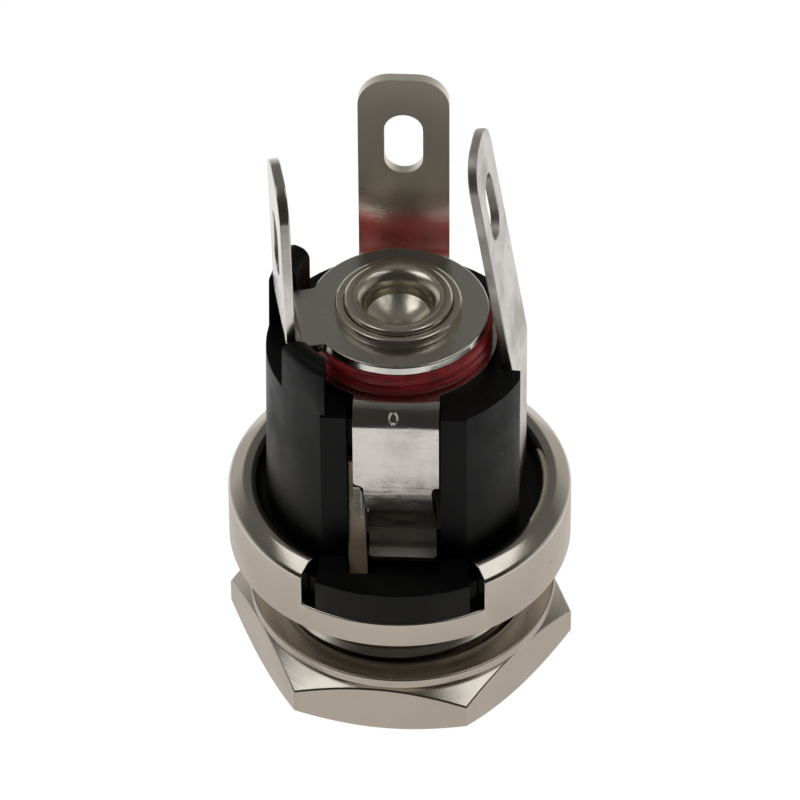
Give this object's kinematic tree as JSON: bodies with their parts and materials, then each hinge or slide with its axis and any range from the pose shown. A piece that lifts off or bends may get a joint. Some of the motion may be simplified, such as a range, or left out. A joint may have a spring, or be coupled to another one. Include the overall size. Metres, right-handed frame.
{
  "type": "panel-mount dc power jack",
  "caption": "Round panel-mount dc barrel jack: nickel-plated bushing with a hex nut, black insulator, and solder lugs insulated by red fibre washers.",
  "frame": {"origin": "on the jack's axis, in the plane of the bushing's nose", "axes": "+Z along the axis from the plug's side towards the solder lugs, -Y towards the key block and the spring, +X towards the shunt lug"},
  "size_m": [0.015, 0.0148, 0.0281],
  "materials": {
    "nickel_body": "bright nickel plate on turned brass",
    "nickel_nut": "bright nickel plate over turning marks",
    "black_plastic": "black moulded plastic with a slight sheen",
    "nickel_pin": "bright nickel plate",
    "terminal_plate": "satin nickel plate",
    "spring_plate": "nickel plate with fine rolling marks",
    "red_fibre": "red vulcanised fibre"
  },
  "bodies": {
    "root": {"bushing": "nickel_body", "hex_nut": "nickel_nut", "insulator": "black_plastic", "centre_pin": "nickel_pin", "rivet_cup": "nickel_pin", "pin_terminal": "terminal_plate", "upper_washer": "red_fibre", "lower_washer": "red_fibre", "sleeve_terminal": "spring_plate", "shunt_terminal": "spring_plate"}
  },
  "joints": []
}
